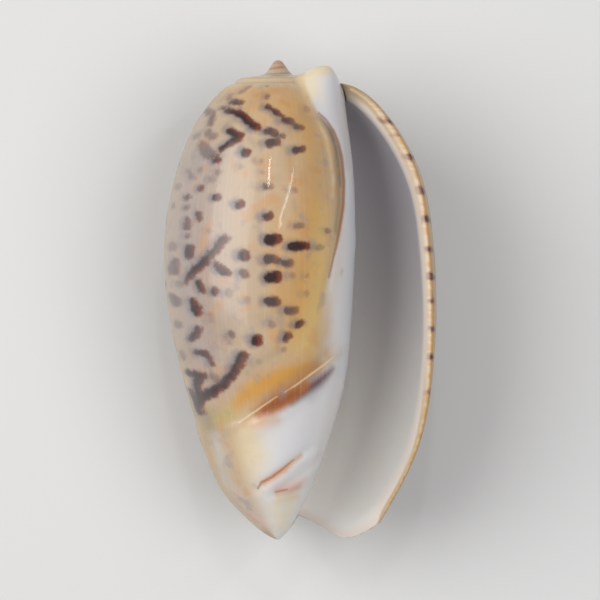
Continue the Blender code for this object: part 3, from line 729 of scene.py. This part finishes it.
def on_back(drawn):
    """Turns and depths of points drawn on the back, which is seen mirrored and leaning."""
    right = (drawn[:, 0] - BACK_TIP[0]) / TENTHS
    down = (drawn[:, 1] - BACK_TIP[1]) / TENTHS
    across = down * math.sin(BACK_LEAN) - right * math.cos(BACK_LEAN)
    depth = down * math.cos(BACK_LEAN) + right * math.sin(BACK_LEAN)
    return found_turns(across, depth, math.radians(-20), math.radians(190)), depth


def segments(turn, depth, radius, path_turn, path_depth, half_width):
    """For each segment of a line on the surface: how far each point lies from it, on its right
    more than 0 and on its left less, where along it that is from 0 to 1, and its half width
    there. Distances across are as seen from above or below, where the surface slopes away."""
    last = max(len(path_turn) - 1, 1)
    facing = radius * max(abs(math.sin(float(np.mean(path_turn)))), LEAST_FACING)
    for start in range(last):
        end = min(start + 1, len(path_turn) - 1)
        across, along = (turn - path_turn[start]) * facing, depth - path_depth[start]
        run = (path_turn[end] - path_turn[start]) * facing, path_depth[end] - path_depth[start]
        length = np.maximum(run[0] ** 2 + run[1] ** 2, 1e-9)
        share = np.clip((across * run[0] + along * run[1]) / length, 0.0, 1.0)
        width = half_width[start] + (half_width[end] - half_width[start]) * share
        side = np.where(across * run[1] < along * run[0], -1.0, 1.0)
        yield side * np.hypot(across - run[0] * share, along - run[1] * share), share, width


def stroke_distance(*where):
    """Distance from each point of the surface to a tapering line on it, less than 0 inside: the
    least over its segments of the distance less the half width."""
    nearest = np.full(where[0].shape, FAR)
    for away, _, width in segments(*where):
        nearest = np.minimum(nearest, np.abs(away) - width)
    return nearest


def fine_lines(turn, depth, radius, lines):
    """Distance to the nearest of some fine lines, signed by its side, and the line's half width
    there, which is below 0 past the line's ends and far from it."""
    nearest, width_there = np.full(turn.shape, FAR), np.full(turn.shape, -LINE_REACH)
    for _, path_turn, path_depth, half_width in lines:
        last = len(path_turn) - 2
        found = segments(turn, depth, radius, path_turn, path_depth, half_width)
        for number, (away, share, width) in enumerate(found):
            nearer = np.abs(away) < np.abs(nearest)
            past_end = ((number == 0) & (share <= 0.0)) | ((number == last) & (share >= 1.0))
            far = np.abs(away) > LINE_REACH
            nearest = np.where(nearer, away, nearest)
            width_there = np.where(nearer, np.where(past_end | far, -LINE_REACH, width), width_there)
    return nearest, width_there


def relief(turn, depth, radius):
    """Height of the fine ridges and creases: for each, a bell curve of the distance from it."""
    height = np.zeros(turn.shape)
    for lines, put in ((FRONT_RELIEF, on_front), (BACK_RELIEF, on_back)):
        for rise, breadth, path in lines:
            path = np.array(path, float)
            away = stroke_distance(turn, depth, radius, *put(path[:, :2]), np.zeros(len(path)))
            height += rise * np.exp(-((away / breadth) ** 2))
    return height


class Sheet:
    """A grid of points on the shell with what its colours are worked out from."""

    def __init__(self, place, turn, depth, from_edge, part):
        self.place = place
        rows_columns = place.shape[:2]
        self.turn = np.broadcast_to(turn, rows_columns)
        self.depth = np.broadcast_to(depth, rows_columns)
        self.from_edge = np.broadcast_to(from_edge, rows_columns)
        self.part = part


def whorl_sheets():
    """The outside of the whorl, and both sides of the hollow, as sheets of points. Rows run down
    the shell and columns run back from the lip."""
    down = steps_down()
    below_top = ease(0.0, 0.05, down)
    lip = lip_turn(down)
    end = NOTCH_TURN + (HOLLOW_TURN - NOTCH_TURN) * (1.0 - ease(0.55, 1.0, down))
    across, round_back = steps_across(WALL_STEPS), np.linspace(0.0, 1.0, BACK_STEPS + 1)

    front = lip + (NOTCH_TURN - lip) * across
    back = NOTCH_TURN + (lip + 2 * math.pi - NOTCH_TURN) * round_back
    turn = np.concatenate([front, back[:, 1:]], axis=1)
    depth = SUTURE_DEPTH + (edge_depth(turn) - SUTURE_DEPTH) * down
    radius = whorl_radius(turn, depth)
    from_edge = radius * (turn - lip)
    lined = relief(turn, depth, radius)
    radius = radius - turned_in(turn, depth, turn - lip) * below_top + band(turn, depth) + lined
    fade = np.exp(-(((depth - SUTURE_DEPTH) / KNOB_LENGTH) ** 1.5))
    rise = (KNOB_HEIGHT + RIM_FALL) * knob(turn) * fade
    outside = Sheet(points(turn, radius, depth - rise), turn, depth, from_edge, "outside")

    turn = lip + (end - lip) * across
    past_lip = turn - lip
    roof = SUTURE_DEPTH + ROOF_THICKNESS * (1.0 - np.exp(-past_lip / math.radians(20)))
    pillar_depth = roof + (NOTCH_DEPTH - roof) * down
    wall_depth = roof + (edge_depth(turn) - roof) * down
    pillar, _ = hollow_radii(turn, pillar_depth, roof, past_lip, end - turn)
    _, wall = hollow_radii(turn, wall_depth, roof, past_lip, end - turn)
    wall = wall - turned_in(turn, wall_depth, past_lip) * below_top
    from_edge = np.minimum(wall * past_lip, edge_depth(turn) - wall_depth + 0.6)
    pillar_side = Sheet(points(turn, pillar, pillar_depth), turn + 2 * math.pi, pillar_depth, FAR, "pillar")
    wall_side = Sheet(points(turn, wall, wall_depth), turn, wall_depth, from_edge, "wall")
    return outside, pillar_side, wall_side


def spire_sheet(outside):
    """The spire: a small cone of early whorls on a flat disc, out to the whorl's first row. The
    cone's depth is an exponential of the radius, and the disc's rim a quarter circle."""
    suture = outside.place[0]
    turn = np.arctan2(-suture[:, 2], suture[:, 0])
    radius_at_suture = np.hypot(suture[:, 0], suture[:, 2])
    share = np.linspace(0.0, 1.0, SPIRE_STEPS + 1)[:, None] ** 0.9
    radius = radius_at_suture * share
    cone = CONE_HEIGHT * (1.0 - np.exp(-((radius / CONE_RADIUS) ** 2.5)))
    into_rim = np.clip((radius - radius_at_suture) / RIM_WIDTH + 1.0, 0.0, 1.0)
    flat = FLAT_FALL * ease(1.5 * CONE_RADIUS, 4.0 * CONE_RADIUS, radius)
    raised = knob(turn % (2 * math.pi))
    rim = RIM_FALL * (1.0 - np.sqrt(1.0 - into_rim * into_rim)) * (1.0 - raised)
    depth = cone + flat + rim
    place = points(turn, radius, depth - KNOB_HEIGHT * raised * ease(0.5, 1.0, share))
    place[-1] = suture
    return Sheet(place, turn % (2 * math.pi), depth, FAR, "spire")


def tip_sheet(outside, pillar_side):
    """The pillar's tip: the ring at the notch's depth, drawn in evenly to a blunt point."""
    ring = np.concatenate([outside.place[-1, WALL_STEPS:], pillar_side.place[-1, 1:]])
    turn = np.concatenate([outside.turn[-1, WALL_STEPS:], pillar_side.turn[-1, 1:]])
    left = np.linspace(1.0, 0.0, TIP_STEPS + 1)[:, None, None]
    place = ring * left
    place[..., 1] = -TIP_DEPTH + (ring[..., 1] + TIP_DEPTH) * left[..., 0] ** 1.45
    return Sheet(place, turn, -place[..., 1], FAR, "tip")


def outline_distance(turn, depth, radius, path_turn, path_depth):
    """Distance from each point of the surface to a closed outline on it, less than 0 inside."""
    nearest = np.full(turn.shape, FAR)
    inside = np.zeros(turn.shape, bool)
    for start, end in zip(range(len(path_turn)), list(range(1, len(path_turn))) + [0]):
        across, along = (turn - path_turn[start]) * radius, depth - path_depth[start]
        run = (path_turn[end] - path_turn[start]) * radius, path_depth[end] - path_depth[start]
        length = np.maximum(run[0] ** 2 + run[1] ** 2, 1e-9)
        share = np.clip((across * run[0] + along * run[1]) / length, 0.0, 1.0)
        nearest = np.minimum(nearest, np.hypot(across - run[0] * share, along - run[1] * share))
        if run[1] != 0.0:
            level = (path_depth[start] <= depth) != (path_depth[end] <= depth)
            crossing = run[0] * along / run[1]
            inside ^= level & (across < crossing)
    return np.where(inside, -nearest, nearest)


def drawn_marks():
    """Every mark as its strength, its turns and depths and its half widths, or None for a closed
    outline."""
    marks = []
    marks.extend(placed(FRONT_MARKS, on_front, SPREAD))
    marks.extend(placed(BACK_MARKS, on_back, SPREAD))
    for strength, down, half_height, reach in LIP_SPOTS:
        depth = (down - FRONT_TIP[1]) / TENTHS
        start = LIP_SPOT_TURN
        turns = np.array([start, start + (reach + 0.4) / float(bare_radius(0.0, depth))])
        widths = np.array([half_height, 0.4 * half_height]) / TENTHS
        marks.append((strength, turns, np.array([depth, depth + 0.15]), widths))
    for strength, turn, down, half_width, length in SIDE_MARKS:
        depth = (down - FRONT_TIP[1]) / TENTHS
        turns = np.radians([turn, turn + 3.0])
        widths = np.array([half_width] * 2) / TENTHS
        marks.append((strength, turns, np.array([depth, depth + length]), widths))
    for strength, outline in BACK_BANDS:
        marks.append((strength, *on_back(np.array(outline, float)), None))
    return marks


def spire_suture(turn, radius):
    """Signed distance to the seam between the early whorls, and its half width: a spiral whose
    radius grows by the same factor with each turn, and which thins out past the cone."""
    turns_out = np.log(radius / 0.3) / math.log(SPIRE_GROWTH) + turn / (2 * math.pi)
    between = turns_out - np.round(turns_out)
    away = between * radius * math.log(SPIRE_GROWTH)
    drawn = np.abs(between) < 0.35
    return away, np.where(drawn, 0.03 - 0.06 * ease(1.2, 2.6, radius), -LINE_REACH)


def placed(drawing, put, spread):
    """Each drawn stroke as its strength, its turns and depths and its half widths."""
    for strength, *path in drawing:
        path = np.array(path, float)
        yield strength, *put(path[:, :2]), path[:, 2] / TENTHS + spread


def marks_at(turn, depth, radius, marks):
    """Distance to the nearest mark, less than 0 inside it, and how strong the marks near are."""
    nearest = np.full(turn.shape, FAR)
    total, weights = np.zeros(turn.shape), np.full(turn.shape, 1e-6)
    for strength, path_turn, path_depth, half_width in marks:
        if half_width is None:
            away = outline_distance(turn, depth, radius, path_turn, path_depth)
        else:
            away = stroke_distance(turn, depth, radius, path_turn, path_depth, half_width)
        nearest = np.minimum(nearest, away)
        weight = np.exp(-5.0 * np.maximum(away, 0.0))
        total += weight * strength
        weights += weight
    return nearest, total / weights


def layer(ground, colour, amount):
    """The ground with a colour laid over it by this amount at each point."""
    return ground + (np.array(colour) - ground) * amount[..., None]


def tinted(ground, sheet, radius, tints, put):
    """The ground with each soft tint laid over it: a smooth step of the distance to its line."""
    for colour, strength, softness, path in tints:
        path = np.array(path, float)
        away = stroke_distance(sheet.turn, sheet.depth, radius, *put(path[:, :2]), path[:, 2] / TENTHS)
        ground = layer(ground, colour, strength * (1.0 - ease(-softness, softness, away)))
    return ground


def pad_edge_across(depth):
    """How far across from the axis the pad's edge lies at this depth, seen from the front."""
    return np.interp(depth, *WHITE_LEFT)


def pad_cover(sheet):
    """How much white covers the pattern here: beside the opening, right of the pad's edge, and
    below the main ridge, fading away to the left."""
    across = sheet.place[..., 0]
    fronting = ease(math.radians(262), math.radians(275), sheet.turn)
    softness = 0.25 + 1.2 * ease(20.0, 29.0, sheet.depth)
    away = across - pad_edge_across(sheet.depth)
    beside = ease(-softness, softness, away) * (1.0 - ease(28.0, 32.0, sheet.depth))
    ridge = np.interp(across, *WHITE_TOP)
    right = ease(-4.5, 1.0, across + 0.16 * (sheet.depth - 36.0))
    below = ease(0.1, 1.3, sheet.depth - ridge)
    return fronting * beside, ease(math.radians(215), math.radians(262), sheet.turn) * below, right


def knob_left(sheet):
    """The left share of the knob and the whole of its top: a smooth step of how far across."""
    top = 1.0 - ease(0.9, 2.2, -sheet.place[..., 1])
    return 1.0 - ease(2.6, 4.6, sheet.place[..., 0] - 2.4 * top)


def ground_colour(sheet):
    """The colour under the markings, by zones that fade into each other."""
    radius = np.hypot(sheet.place[..., 0], sheet.place[..., 2])
    ground = np.broadcast_to(np.array(TAN), sheet.place.shape)
    if sheet.part == "wall":
        # Painted shade inside the opening: greyer near its top, lightening to INSIDE_LOW further down.
        ground = layer(ground, INSIDE_PAINTED_SHADE, np.ones(sheet.turn.shape))
        ground = layer(ground, INSIDE_LOW, ease(8.0, 42.0, sheet.depth))
        ground = layer(ground, LIP_CREAM, 1.0 - ease(0.8, 2.0, sheet.from_edge))
        ground = layer(ground, TAN, 0.8 * (1.0 - ease(0.25, 0.5, sheet.from_edge)))
        at_top = (1.0 - ease(3.2, 5.0, sheet.depth)) * (1.0 - ease(1.0, 2.2, sheet.from_edge))
        return layer(ground, OLIVE, 0.75 * at_top)
    if sheet.part == "spire":
        ground = layer(ground, PLATEAU, np.ones(sheet.turn.shape))
        ground = layer(ground, PINK, 0.8 * (1.0 - ease(0.2, 1.1, sheet.depth)))
        ground = layer(ground, GROUND_GREY, 0.5 * np.exp(-(((radius - 1.1) / 0.7) ** 2)))
        outer = knob(sheet.turn) * ease(2.2, 4.2, radius)
        beside, _, _ = pad_cover(sheet)
        ground = layer(ground, WHITE, np.maximum(beside * ease(0.0, 0.8, knob(sheet.turn)), 0.35 * outer))
        return layer(ground, KNOB_CREAM, 0.9 * outer * knob_left(sheet))
    if sheet.part == "pillar":
        ground = layer(ground, WHITE, np.ones(sheet.turn.shape))
        return layer(ground, INSIDE_LOW, ease(math.radians(350), math.radians(400), sheet.turn))
    ground = layer(ground, CREAM, ease(math.radians(170), math.radians(225), sheet.turn))
    beside, below, right = pad_cover(sheet)
    ground = tinted(ground, sheet, radius, BACK_TINTS, on_back)
    ground = layer(ground, PALE_CREAM, below)
    ground = layer(ground, WHITE, below * right)
    ground = tinted(ground, sheet, radius, FRONT_TINTS, on_front)
    ground = layer(ground, PLATEAU, 1.0 - ease(SUTURE_DEPTH, SUTURE_DEPTH + 0.8, sheet.depth))
    knob_tint = knob(sheet.turn) * (1.0 - ease(2.0, 7.0, sheet.depth))
    ground = layer(ground, WHITE, np.maximum(beside, 0.35 * knob_tint))
    ground = layer(ground, KNOB_CREAM, 0.9 * knob_tint * knob_left(sheet))
    # A painted bluish sheen on the pad beside the opening, further down.
    blue = ease(6.6, 7.6, sheet.place[..., 0]) * beside * ease(10.0, 20.0, sheet.depth)
    ground = layer(ground, BLUE_WHITE_SHEEN, 0.3 * blue)
    ground = tinted(ground, sheet, radius, PAD_TINTS, on_front)
    on_lip_side = 1.0 - ease(math.radians(60), math.radians(90), sheet.turn)
    along_lip = on_lip_side * (1.0 - ease(0.4, 1.6, sheet.from_edge))
    ground = layer(ground, ORANGE, 0.3 * along_lip)
    top = ease(SUTURE_DEPTH, SUTURE_DEPTH + 0.5, sheet.depth) * (1.0 - ease(3.2, 5.2, sheet.depth))
    return layer(ground, OLIVE, 0.7 * along_lip * top)


def sheet_faces(sheet, first, flipped):
    """Four-sided faces between neighbouring points of a sheet whose points start at first."""
    rows, columns = sheet.place.shape[:2]
    corner = first + np.arange(rows - 1)[:, None] * columns + np.arange(columns - 1)
    faces = np.stack([corner, corner + columns, corner + columns + 1, corner + 1], axis=-1).reshape(-1, 4)
    return faces[:, ::-1] if flipped else faces


def shell_mesh():
    """All sheets as one closed mesh, welded where they meet, with the ground's colour, the marks
    and a measure round the whorl as attributes of its points."""
    outside, pillar_side, wall_side = whorl_sheets()
    spire, tip = spire_sheet(outside), tip_sheet(outside, pillar_side)
    marks = drawn_marks()
    ridges = [*placed(RIDGE_LINES, on_front, 0.0), *placed(BACK_LINES, on_back, 0.0)]
    creases = list(placed(CREASE_LINES, on_front, 0.0))
    places, faces, grounds = [], [], []
    lines = ("ridge", "ridge_width", "crease", "crease_width")
    values = {name: [] for name in ("mark", "halo", "strength", "round", "plain", *lines)}
    first = 0
    sheets = ((outside, False), (pillar_side, False), (wall_side, True), (spire, False), (tip, False))
    for sheet, flipped in sheets:
        turn, depth = sheet.turn, sheet.depth
        radius = np.maximum(np.hypot(sheet.place[..., 0], sheet.place[..., 2]), 0.1)
        mark = halo = ridge = crease = np.full(turn.shape, FAR)
        ridge_width = crease_width = np.full(turn.shape, -LINE_REACH)
        strength = np.zeros(turn.shape)
        plain = np.ones(turn.shape)
        if sheet.part == "spire":
            crease, crease_width = spire_suture(turn, radius)
        if sheet.part == "wall":
            mark, strength = marks_at(turn, depth, radius, marks)
            strength = strength * (1.0 - ease(0.2, 0.4, sheet.from_edge)) * (1.0 - ease(37.0, 40.0, depth))
        if sheet.part in ("outside", "tip"):
            ridge, ridge_width = fine_lines(turn, depth, radius, ridges)
            crease, crease_width = fine_lines(turn, depth, radius, creases)
            mark, strength = marks_at(turn, depth, radius, marks)
            halo, _ = marks_at(turn + HALO_SHIFT / radius, depth, radius, marks)
            beside, below, _ = pad_cover(sheet)
            plain = np.maximum(beside, below)
            edge = np.maximum(ease(0.1, 0.4, sheet.from_edge), 1.0 - ease(37.0, 40.0, depth))
            strength = strength * (1.0 - plain) * edge
            strength = strength * ease(SUTURE_DEPTH, SUTURE_DEPTH + 0.5, depth)
        places.append(sheet.place.reshape(-1, 3))
        grounds.append(ground_colour(sheet).reshape(-1, 3))
        kept = {"mark": mark, "halo": halo, "strength": strength, "round": turn * 12.0, "plain": plain}
        kept.update({"ridge": ridge, "ridge_width": ridge_width})
        kept.update({"crease": crease, "crease_width": crease_width})
        for name, value in kept.items():
            values[name].append(value.reshape(-1))
        faces.append(sheet_faces(sheet, first, flipped))
        first += len(places[-1])
    places = np.concatenate(places) + SPIRE_PLACE
    places[:, 2] = np.maximum(places[:, 2] - FLAT_SPOT_DEPTH, 0.0)
    mesh = bpy.data.meshes.new("polished_shell")
    mesh.from_pydata((places * MILLIMETRE).tolist(), [], np.concatenate(faces).tolist())
    colour = np.concatenate([np.concatenate(grounds), np.ones((len(places), 1))], axis=1)
    ground = mesh.attributes.new("ground", "FLOAT_COLOR", "POINT")
    ground.data.foreach_set("color", colour.astype(np.float32).ravel())
    for name, value in values.items():
        layer_of = mesh.attributes.new(name, "FLOAT", "POINT")
        layer_of.data.foreach_set("value", np.concatenate(value).astype(np.float32))
    welded = bmesh.new()
    welded.from_mesh(mesh)
    bmesh.ops.remove_doubles(welded, verts=welded.verts, dist=WELD * MILLIMETRE)
    welded.to_mesh(mesh)
    welded.free()
    mesh.shade_smooth()
    return mesh


class Value:
    """A number that changes over the surface. Arithmetic on it adds Math nodes."""

    def __init__(self, paint, socket):
        self.paint = paint
        self.socket = socket

    def worked(self, operation, first, second):
        return self.paint.node("ShaderNodeMath", {"operation": operation}, {0: first, 1: second})

    def __add__(self, other):
        return self.worked("ADD", self, other)

    def __sub__(self, other):
        return self.worked("SUBTRACT", self, other)

    def __mul__(self, other):
        return self.worked("MULTIPLY", self, other)

    def __abs__(self):
        return self.worked("ABSOLUTE", self, 0.0)

    def __radd__(self, other):
        return self.worked("ADD", other, self)

    def __rsub__(self, other):
        return self.worked("SUBTRACT", other, self)

    def __rmul__(self, other):
        return self.worked("MULTIPLY", other, self)


class Paint:
    """A material's nodes, made one by one from their settings and the values of their sockets."""

    def __init__(self, name):
        self.material = bpy.data.materials.new(name)
        self.material.use_nodes = True
        self.tree = self.material.node_tree
        self.surface = self.tree.nodes["Principled BSDF"]

    def put(self, node, sockets):
        """Sets sockets of a node, by name or number, to values, or links them."""
        for key, value in sockets.items():
            if isinstance(value, Value):
                self.tree.links.new(value.socket, node.inputs[key])
            else:
                node.inputs[key].default_value = value

    def node(self, kind, settings=None, sockets=None, output=0):
        """A new node of a kind: its settings first, then its sockets. Gives one of its outputs."""
        node = self.tree.nodes.new(kind)
        for key, value in (settings or {}).items():
            setattr(node, key, value)
        self.put(node, sockets or {})
        return Value(self, node.outputs[output])

    def attribute(self, name, output="Fac"):
        return self.node("ShaderNodeAttribute", {"attribute_name": name}, {}, output)

    def step(self, value, low, high):
        """A smooth step of a value, 0 at low and 1 at high, which may be the lower number."""
        sockets = {"Value": value, "From Min": low, "From Max": high, "To Min": 0.0, "To Max": 1.0}
        return self.node("ShaderNodeMapRange", {"interpolation_type": "SMOOTHSTEP"}, sockets)

    def noise(self, vector, scale, detail=2.0):
        """Noise from 0 to 1 with this many waves in a metre or unit."""
        return self.node("ShaderNodeTexNoise", {}, {"Vector": vector, "Scale": scale, "Detail": detail})

    def mix(self, amount, under, over):
        """The colour over laid on the colour under by an amount."""
        under = under if isinstance(under, Value) else (*under, 1.0)
        over = over if isinstance(over, Value) else (*over, 1.0)
        return self.node("ShaderNodeMix", {"data_type": "RGBA"}, {"Factor": amount, 6: under, 7: over}, 2)


def shell_material():
    """Porcelain-like shell: dark marks with a red-brown older side and a blue-grey shade on the
    younger, under a clear gloss."""
    paint = Paint("polished_shell")
    place = paint.node("ShaderNodeTexCoord", {}, {}, "Object")
    mark, halo, strength = (paint.attribute(name) for name in ("mark", "halo", "strength"))
    rough_edge = (paint.noise(place, 1300.0, 3.0) - 0.5) * 0.55
    fine_edge = (paint.noise(place, 4200.0, 2.0) - 0.5) * 0.25
    mark = mark + rough_edge + fine_edge
    halo = halo + rough_edge

    round_whorl = paint.attribute("round")
    streak_place = paint.node("ShaderNodeCombineXYZ", {}, {"X": round_whorl, "Y": 0.0, "Z": 0.0})
    streaks = paint.noise(streak_place, 2.2, 3.0)
    clouds = paint.noise(place, 260.0, 3.0)

    ground = paint.attribute("ground", "Color")
    plain = paint.attribute("plain")
    patterned = 1.0 - plain
    blotches = paint.noise(place, 620.0, 4.0)
    ground = paint.mix(paint.step(streaks, 0.45, 0.75) * 0.10, ground, STREAK_CREAM)
    ground = paint.mix(paint.step(clouds, 0.50, 0.75) * patterned * 0.30, ground, CLOUD_BROWN)
    ground = paint.mix(paint.step(blotches, 0.54, 0.72) * patterned * 0.45, ground, BLOTCH_GREY)
    warm = paint.noise(place, 480.0, 4.0)
    ground = paint.mix(paint.step(warm, 0.53, 0.68) * patterned * 0.35, ground, BLOTCH_ORANGE)
    shade = (1.0 - paint.step(halo, -0.30, 0.45)) * strength * 0.70
    ground = paint.mix(shade, ground, BLUE_GREY)
    body = (1.0 - paint.step(mark, -0.18, 0.18)) * strength
    older_side = paint.step(halo, -0.28, 0.20)
    ink = paint.mix(older_side, DARK_BROWN, RED_BROWN)
    ink = paint.mix((1.0 - strength) * 0.7, ink, FAINT_INK)
    ridge = abs(paint.attribute("ridge")) - paint.attribute("ridge_width")
    crease = abs(paint.attribute("crease")) - paint.attribute("crease_width")
    on_ridge = 1.0 - paint.step(ridge + fine_edge * 0.4, -0.04, 0.10)
    in_crease = 1.0 - paint.step(crease + fine_edge * 0.4, -0.08, 0.16)
    # A painted highlight along the fine ridges, broken up by the clouds so that it glints.
    ground = paint.mix(on_ridge * paint.step(clouds, 0.25, 0.60) * 0.7, ground, RIDGE_HIGHLIGHT)
    ground = paint.mix(in_crease * 0.7, ground, CREASE_BROWN)
    flecks = paint.step(paint.noise(place, 900.0, 3.0), 0.52, 0.66) * paint.step(mark, -0.35, -0.85)
    ink = paint.mix(flecks * 0.55, ink, FLECK_BROWN)
    colour = paint.mix(body, ground, ink)

    growth = paint.noise(streak_place, 5.0, 4.0)
    height = growth + clouds * 0.6 + on_ridge - in_crease
    bump = paint.node("ShaderNodeBump", {}, {"Strength": 0.10, "Distance": 0.0002, "Height": height})
    paint.put(paint.surface, {
        "Base Color": colour,
        "Roughness": 0.30 + clouds * 0.10,
        "IOR": 1.52,
        "Coat Weight": 0.35,
        "Coat Roughness": 0.06,
        "Subsurface Weight": 0.06,
        "Subsurface Scale": 0.002,
        "Normal": bump,
    })
    return paint.material


def floor_object():
    """A plain pale table top."""
    half, height = TABLE_HALF, TABLE_HEIGHT
    mesh = bpy.data.meshes.new("table")
    corners = [(-half, -half, height), (half, -half, height), (half, half, height), (-half, half, height)]
    mesh.from_pydata(corners, [], [(0, 1, 2, 3)])
    paint = Paint("table")
    paint.put(paint.surface, {"Base Color": (0.72, 0.71, 0.69, 1.0), "Roughness": 0.7})
    mesh.materials.append(paint.material)
    floor = bpy.data.objects.new("table", mesh)
    bpy.context.scene.collection.objects.link(floor)
    return floor


def soft_light(name, place, size, power, mirrored, aim=(0.0, 0.0, 0.012)):
    """A rectangular light at a place, facing the shell, which may show as a reflection in it."""
    lamp = bpy.data.lights.new(name, "AREA")
    lamp.shape = "RECTANGLE"
    lamp.size, lamp.size_y = size
    lamp.energy = power
    light = bpy.data.objects.new(name, lamp)
    light.location = place
    light.visible_glossy = mirrored
    light.rotation_euler = (Vector(aim) - Vector(place)).to_track_quat("-Z", "Y").to_euler()
    bpy.context.scene.collection.objects.link(light)


def studio():
    """Soft lights, a pale surrounding and a camera that looks straight down on the opening."""
    world = bpy.data.worlds.new("studio")
    world.use_nodes = True
    world.node_tree.nodes["Background"].inputs["Color"].default_value = (0.85, 0.90, 1.0, 1.0)
    world.node_tree.nodes["Background"].inputs["Strength"].default_value = 0.25
    bpy.context.scene.world = world
    bpy.context.scene.view_settings.view_transform = "Standard"
    soft_light("key", (-0.32, 0.08, 0.345), (0.42, 0.42), 1.75, True)
    soft_light("fill", (0.18, -0.04, 0.40), (0.24, 0.30), 0.72, False)
    soft_light("strip near the lens", (0.012, 0.165, 0.34), (0.014, 0.05), 0.06, True)
    soft_light("strip beside it", (0.16, 0.12, 0.34), (0.012, 0.16), 0.08, True)
    lens = bpy.data.cameras.new("camera")
    lens.lens = LENS
    lens.clip_start = 0.01
    camera = bpy.data.objects.new("camera", lens)
    camera.location = (0.0, 0.0, FRAMED_HEIGHT + FRAME_WIDTH * LENS / SENSOR)
    bpy.context.scene.collection.objects.link(camera)
    bpy.context.scene.camera = camera


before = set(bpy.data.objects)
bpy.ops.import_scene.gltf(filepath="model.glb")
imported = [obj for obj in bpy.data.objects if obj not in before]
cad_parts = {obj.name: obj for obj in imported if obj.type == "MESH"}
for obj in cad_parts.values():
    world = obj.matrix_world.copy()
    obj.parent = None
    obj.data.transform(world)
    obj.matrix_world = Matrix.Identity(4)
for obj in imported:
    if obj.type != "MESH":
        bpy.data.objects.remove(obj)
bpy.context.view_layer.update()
shell = bpy.data.objects.new("polished_shell", shell_mesh())
shell.data.materials.append(shell_material())
bpy.context.scene.collection.objects.link(shell)
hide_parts("shell")
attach(shell, "root")
table = floor_object()
studio()
